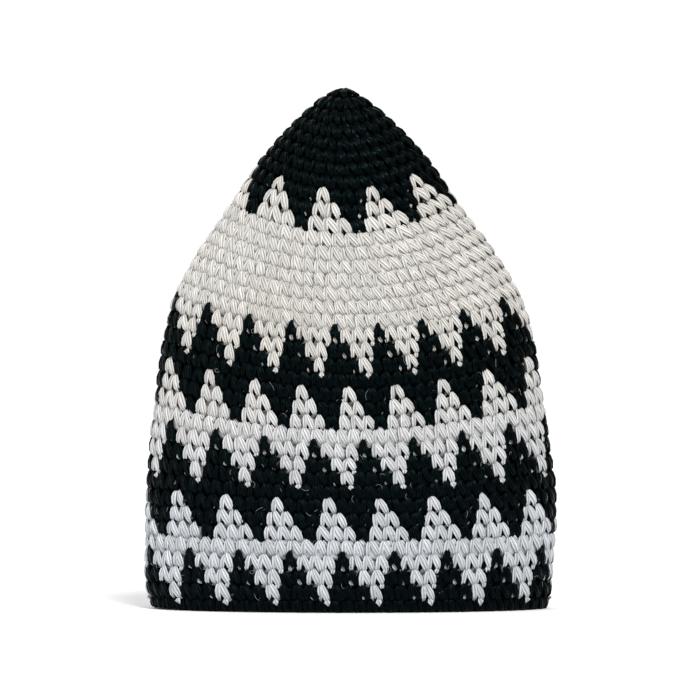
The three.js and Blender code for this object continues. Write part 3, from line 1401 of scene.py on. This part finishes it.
@dataclass
class CrochetBody:
    """The crocheted body: two legs for every stitch, the core behind them and the floats.

    Args:
        form: The cap's form.
        chart: The chart of its rounds.
        work: What works the stitches.
        materials: The finishes by name.
        looseness: How unevenly the stitches were worked, 1 as usual.
        float_looseness: The same for the floats.
        bands: Name, first round and last round of each band.
        core: The beads behind the stitches.
        core_out: How far out of the face the black beads lie.
        white_core_out: The same for white beads at the ends of a white run.
        inside_core_out: The same for white beads within a run.
        plain_core_out: The same for the beads of the all-white rounds.
        core_half_width: Half the width of the black beads, in cell widths.
        white_core_half_width: Half the width of the white beads, in cell widths.
    """

    form: CapForm
    chart: ZigzagChart
    work: StitchWork
    materials: dict[str, Material]
    looseness: float = 1.0
    float_looseness: float = 0.5
    bands: tuple[tuple[str, int, int], ...] = (
        ("crown", 1, 8),
        ("crown_points", 9, 11),
        ("field", 12, 18),
        ("upper_points", 19, 22),
        ("middle_rise", 23, 26),
        ("middle_points", 27, 30),
        ("lower_rise", 31, 34),
        ("lower_points", 35, 37),
    )
    core: BeadShape = BeadShape(middle=0.68, half_height=0.62, half_depth=1.6 * MM)
    core_out: float = -3.5 * MM
    white_core_out: float = -3.9 * MM
    inside_core_out: float = -3.3 * MM
    plain_core_out: float = -2.4 * MM
    core_half_width: float = 0.72
    white_core_half_width: float = 0.56

    def build(self) -> None:
        """Builds every piece of the body."""
        stitches = self.chart.stitches(self.form, self.work.rng, 1, self.form.rounds)
        left = self.work.legs(stitches, LEFT_LEG, self.looseness)
        right = self.work.legs(stitches, RIGHT_LEG, self.looseness)
        for band, first, last in self.bands:
            inside = (stitches.round >= first) & (stitches.round <= last)
            for yarn in Yarn:
                chosen = inside & (stitches.white == (yarn is Yarn.WHITE))
                if not chosen.any():
                    continue
                legs = left.pick(chosen).joined(right.pick(chosen))
                name = f"{band}_{yarn.name.lower()}"
                legs.add_piece(name, self.materials[yarn.name], yarn, "cap")
        self._floats(stitches)
        self._core(stitches)

    def _floats(self, stitches: Stitches) -> None:
        """Builds the bits of the other yarn that show between the legs of the stitches.

        Args:
            stitches: The stitches of the whole body.
        """
        mixed = self.chart.is_mixed(stitches.round)
        closing = self.chart.is_closing(stitches.round)
        bold = closing & ~self.chart.is_single(stitches.round)
        small = (closing & ~bold) | (stitches.round < self.chart.field_rounds[0])
        white = stitches.white
        last_white, last_black = stitches.last & white, stitches.last & ~white
        alone = last_black & np.roll(white, 1)
        kinds = (
            ("floats_white", Yarn.WHITE, GAP_FLOAT, last_black & bold),
            ("small_floats_white", Yarn.WHITE, SMALL_FLOAT, last_black & small),
            ("dim_floats_white", Yarn.WHITE, DIM_FLOAT, last_black & ~closing & ~small),
            ("tails_white", Yarn.WHITE, TAIL_FLOAT, last_white & bold),
            ("diamonds_white", Yarn.WHITE, DIAMOND_FLOAT, last_white & closing & ~bold),
            ("slits_black", Yarn.BLACK, SLIT_FLOAT, last_white),
            ("carried_black", Yarn.BLACK, CARRIED_FLOAT, white & mixed & ~last_white),
            ("peaks_black", Yarn.BLACK, PEAK, alone & closing),
            ("back_loops_white", Yarn.WHITE, BACK_LOOP, white & ~mixed),
        )
        for name, yarn, shape, chosen in kinds:
            floats = self.work.legs(stitches.pick(chosen), shape, self.float_looseness)
            # The floats get no painted shade at their ends.
            floats.facts[..., TUCK_SHADE] = 1.0
            # The dim white floats take the grey fibre finish: painted shade on white yarn.
            finish = "FIBRE" if shape is DIM_FLOAT else yarn.name
            floats.add_piece(name, self.materials[finish], yarn, "cap")

    def _core(self, stitches: Stitches) -> None:
        """Builds the fabric's core, one firm bead behind each stitch, which also shows inside.

        Args:
            stitches: The stitches of the whole body.
        """
        inside = stitches.white & ~stitches.last & np.roll(stitches.white, 1)
        plain = inside & ~self.chart.is_mixed(stitches.round)
        out = np.where(stitches.white, self.white_core_out, self.core_out)
        out = np.where(inside, self.inside_core_out, out)
        out = np.where(plain, self.plain_core_out, out)
        half_width = np.where(stitches.white, self.white_core_half_width, self.core_half_width)
        beads = self.work.beads(stitches, self.core, half_width, out)
        # The white beads take the core finish, whose darker colour is painted shade for the gaps.
        for yarn in Yarn:
            chosen = stitches.white == (yarn is Yarn.WHITE)
            name, material = f"core_{yarn.name.lower()}", self.materials[f"{yarn.name}_CORE"]
            beads.pick(chosen).add_piece(name, material, yarn, "cap")


@dataclass
class RimEdging:
    """The last round, worked tight in black yarn, on which the cap stands.

    Args:
        form: The cap's form.
        chart: The chart of its rounds.
        work: What works the stitches.
        material: The edging's finish.
        looseness: How unevenly the stitches were worked, 1 as usual.
        core: The beads behind the stitches.
        core_out: How far out of the face they lie.
        core_half_width: Half their width, in cell widths.
    """

    form: CapForm
    chart: ZigzagChart
    work: StitchWork
    material: Material
    looseness: float = 0.6
    core: BeadShape = BeadShape(middle=0.43, half_height=0.42, half_depth=2.3 * MM)
    core_out: float = -4.4 * MM
    core_half_width: float = 0.6

    def build(self) -> None:
        """Builds the edging's stitches and the cord of yarn behind them."""
        number = self.form.rounds + 1
        stitches = self.chart.stitches(self.form, self.work.rng, number, number)
        left = self.work.legs(stitches, EDGE_LEFT_LEG, self.looseness)
        right = self.work.legs(stitches, EDGE_RIGHT_LEG, self.looseness)
        left.joined(right).add_piece("rim_stitches", self.material, Yarn.BLACK, "rim_edging")
        even = np.ones(len(stitches.round))
        half_width, out = self.core_half_width * even, self.core_out * even
        beads = self.work.beads(stitches, self.core, half_width, out)
        beads.add_piece("rim_core", self.material, Yarn.BLACK, "rim_edging")


@dataclass
class StrayFibres:
    """Short pale fibres that have worked loose and lie curled on the fabric.

    Args:
        form: The cap's form.
        rng: The source of their differences.
        material: Their finish.
        count: How many there are.
        first_round: The highest round on which they lie.
        half_width: Half their width.
        reach: Usual distance between two stations, in rounds.
        shortest: Least of that, as a share of it.
        longest: Most of that, as a share of it.
        curl: How far they usually bend from end to end, in radians.
        out: How far out of the face their ends lie.
        arch: How much further out their middles stand.
        out_spread: How far that usually differs.
        stations: Sections along each.
        corners: Corners in each section.
    """

    form: CapForm
    rng: np.random.Generator
    material: Material
    count: int = 300
    first_round: float = 17.0
    half_width: float = 0.07 * MM
    reach: float = 0.14
    shortest: float = 0.5
    longest: float = 1.3
    curl: float = 2.2
    out: float = 0.35 * MM
    arch: float = 0.5 * MM
    out_spread: float = 0.15 * MM
    stations: int = 5
    corners: int = 5

    def build(self) -> None:
        """Builds the fibres as one piece."""
        rng, count = self.rng, self.count
        start = rng.uniform(self.first_round**2, (self.form.rounds - 0.5) ** 2, (count, 1)) ** 0.5
        turn = rng.uniform(0.0, 1.0, (count, 1))
        heading = rng.uniform(0.0, 2 * math.pi, (count, 1))
        curl = rng.normal(0.0, self.curl, (count, 1))
        share = np.linspace(0.0, 1.0, self.stations)[None, :]
        bearing = heading + curl * share
        step = self.reach * rng.uniform(self.shortest, self.longest, (count, 1))
        rounds = np.clip(start + np.cumsum(np.cos(bearing) * step, axis=1), 1.0, self.form.rounds)
        angle = 2 * math.pi * turn + np.zeros_like(rounds)
        across = self.form.column("width", rounds) * self.form.width / 2 + self.form.pitch
        angle += np.cumsum(np.sin(bearing) * step, axis=1) * self.form.pitch / across
        out = self.out + self.arch * np.sin(math.pi * share)
        out = out + self.out_spread * rng.normal(0.0, 1.0, (count, 1))
        thin = self.half_width * np.ones_like(rounds)
        fibres = YarnSweep(
            strands=Strands(1, ridge=0.0, corners=self.corners),
            path=self.form.place(angle, rounds, out),
            outward=self.form.outward(angle, rounds),
            half_width=thin,
            half_depth=thin,
            tone=rng.random(count),
            twist=np.zeros(count),
        ).bundle()
        # The fibres get no painted shade.
        fibres.facts[..., [RIDGE, TUCK_SHADE]] = 1.0
        fibres.add_piece("stray_fibres", self.material, Yarn.WHITE, "cap")


@dataclass(frozen=True)
class Lamp:
    """One soft light, far away.

    Args:
        name: Its name.
        direction: Where it stands, seen from the cap.
        strength: Its strength.
        spread: How wide it looks, in degrees; a wider one casts softer shadows.
    """

    name: str
    direction: tuple[float, float, float]
    strength: float
    spread: float


@dataclass
class Studio:
    """The plain floor, the soft light and the camera at the photograph's angle.

    Args:
        photo_pixels: Width and height of the photograph, in pixels.
        pixel: Size of one of its pixels at the cap.
        foot_row: Its row on which the cap stands.
        middle_column: Its column over the origin.
        distance: How far in front of the cap the camera stands.
        sensor: Width of the camera's sensor, in millimetres.
        sight: How far the camera sees.
        floor_half: Half the floor's width.
        floor_shade: How pale the floor is.
        floor_roughness: Its roughness.
        floor_gloss: Level of its gloss.
        surroundings: Strength of the light from all around.
        backdrop: Brightness of the backdrop behind the floor.
        lamps: The lights.
    """

    photo_pixels: float = 700.0
    pixel: float = 0.54 * MM
    foot_row: float = 608.0
    middle_column: float = 351.0
    distance: float = 2.6
    sensor: float = 36.0
    sight: float = 200.0
    floor_half: float = 30.0
    floor_shade: float = 0.92
    floor_roughness: float = 0.9
    floor_gloss: float = 0.1
    surroundings: float = 0.45
    backdrop: float = 1.05
    lamps: tuple[Lamp, ...] = (
        Lamp("key", (0.3, -0.88, 1.0), 2.6, 16.0),
        Lamp("fill", (-0.8, -0.6, 0.5), 1.1, 60.0),
        Lamp("back", (-0.3, 0.9, 0.8), 1.2, 60.0),
    )

    def camera(self) -> None:
        """Sets the level camera, whose frame is the photograph's frame at the cap's sides."""
        half = self.photo_pixels / 2
        data = bpy.data.cameras.new("camera")
        data.sensor_width = self.sensor
        data.lens = self.sensor * self.distance / (self.photo_pixels * self.pixel)
        data.clip_end = self.sight
        camera = bpy.data.objects.new("camera", data)
        camera.location = (
            (half - self.middle_column) * self.pixel,
            -self.distance,
            (self.foot_row - half) * self.pixel,
        )
        camera.rotation_euler = (math.pi / 2, 0.0, 0.0)
        bpy.context.scene.collection.objects.link(camera)
        bpy.context.scene.camera = camera

    def floor(self) -> None:
        """Lays the floor."""
        half = self.floor_half
        mesh = bpy.data.meshes.new("floor")
        mesh.from_pydata(
            [(-half, -half, 0.0), (half, -half, 0.0), (half, half, 0.0), (-half, half, 0.0)],
            [],
            [(0, 1, 2, 3)],
        )
        material = bpy.data.materials.new("floor")
        material.use_nodes = True
        shader = material.node_tree.nodes["Principled BSDF"]
        shader.inputs["Base Color"].default_value = (*[self.floor_shade] * 3, 1.0)
        shader.inputs["Roughness"].default_value = self.floor_roughness
        shader.inputs["Specular IOR Level"].default_value = self.floor_gloss
        mesh.materials.append(material)
        floor = bpy.data.objects.new("floor", mesh)
        bpy.context.scene.collection.objects.link(floor)

    def light(self) -> None:
        """Sets the soft lights and the pale surroundings."""
        for lamp in self.lamps:
            data = bpy.data.lights.new(lamp.name, "SUN")
            data.energy = lamp.strength
            data.angle = math.radians(lamp.spread)
            light = bpy.data.objects.new(lamp.name, data)
            light.rotation_euler = Vector(lamp.direction).to_track_quat("Z", "Y").to_euler()
            bpy.context.scene.collection.objects.link(light)
        world = bpy.data.worlds.new("world")
        world.use_nodes = True
        tree = world.node_tree
        background = tree.nodes["Background"]
        background.inputs["Color"].default_value = (1.0, 1.0, 1.0, 1.0)
        seen = tree.nodes.new("ShaderNodeLightPath")
        strength = tree.nodes.new("ShaderNodeMapRange")
        strength.inputs["To Min"].default_value = self.surroundings
        strength.inputs["To Max"].default_value = self.backdrop
        tree.links.new(seen.outputs["Is Camera Ray"], strength.inputs["Value"])
        tree.links.new(strength.outputs[0], background.inputs["Strength"])
        bpy.context.scene.world = world
        bpy.context.scene.view_settings.view_transform = "Standard"

    def build(self) -> None:
        """Builds the whole setting."""
        self.camera()
        self.floor()
        self.light()


def main() -> None:
    """Builds the cap and its setting, in order."""
    logging.basicConfig(level=logging.INFO, format="%(name)s: %(message)s")
    Studio().build()
    rng = np.random.default_rng(SEED)
    form = CapForm()
    makers = YarnMaterial(NodeGroups())
    materials = {
        "WHITE": makers.build(WHITE_FINISH, "white_yarn"),
        "BLACK": makers.build(BLACK_FINISH, "black_yarn"),
        # Darker copy of the white yarn: painted shade for the beads deep in the gaps.
        "WHITE_CORE": makers.build(WHITE_CORE_SHADED_FINISH, "white_yarn_core_painted_shade"),
        "BLACK_CORE": makers.build(BLACK_FINISH, "black_yarn_core"),
        # Grey finish for the stray fibres, also painted shade on the dim white floats.
        "FIBRE": makers.build(FIBRE_FINISH, "white_yarn_fibre_and_shaded_float"),
    }
    chart, work = ZigzagChart(), StitchWork(form, rng)
    CrochetBody(form, chart, work, materials).build()
    RimEdging(form, chart, work, materials["BLACK"]).build()
    StrayFibres(form, rng, materials["FIBRE"]).build()


if __name__ == "__main__":
    main()
